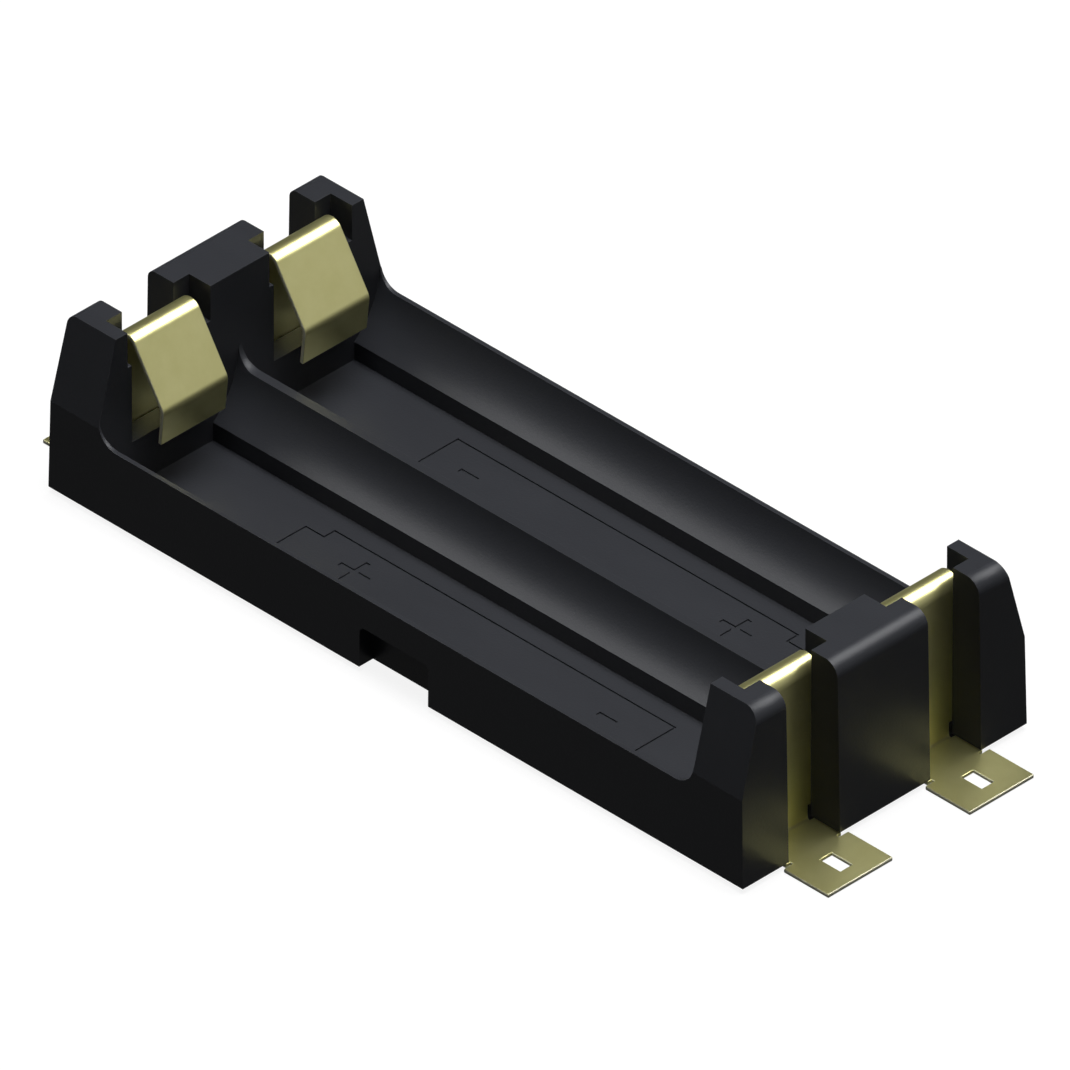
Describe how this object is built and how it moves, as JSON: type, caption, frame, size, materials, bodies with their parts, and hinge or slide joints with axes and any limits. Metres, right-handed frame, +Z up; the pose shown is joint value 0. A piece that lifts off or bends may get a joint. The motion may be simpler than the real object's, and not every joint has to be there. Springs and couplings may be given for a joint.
{
  "type": "battery holder",
  "caption": "Open-topped moulded holder for side-by-side small cylindrical cells, with folded spring contacts at both ends and flat solder tabs that lie on the board.",
  "frame": {"origin": "on the board plane, under the middle of the holder", "axes": "+X along the cells, towards the end where the front bay has its minus mark; +Y towards the rear bay; +Z up from the board"},
  "size_m": [0.0622, 0.0226, 0.0116],
  "materials": {
    "housing": "fine-grained black moulded thermoplastic with a dull sheen",
    "contact": "rolled and plated spring brass, pale gold, with bright sheared edges"
  },
  "bodies": {
    "root": {"housing": "housing", "contact_front_left": "contact", "contact_front_right": "contact", "contact_rear_left": "contact", "contact_rear_right": "contact"}
  },
  "joints": []
}
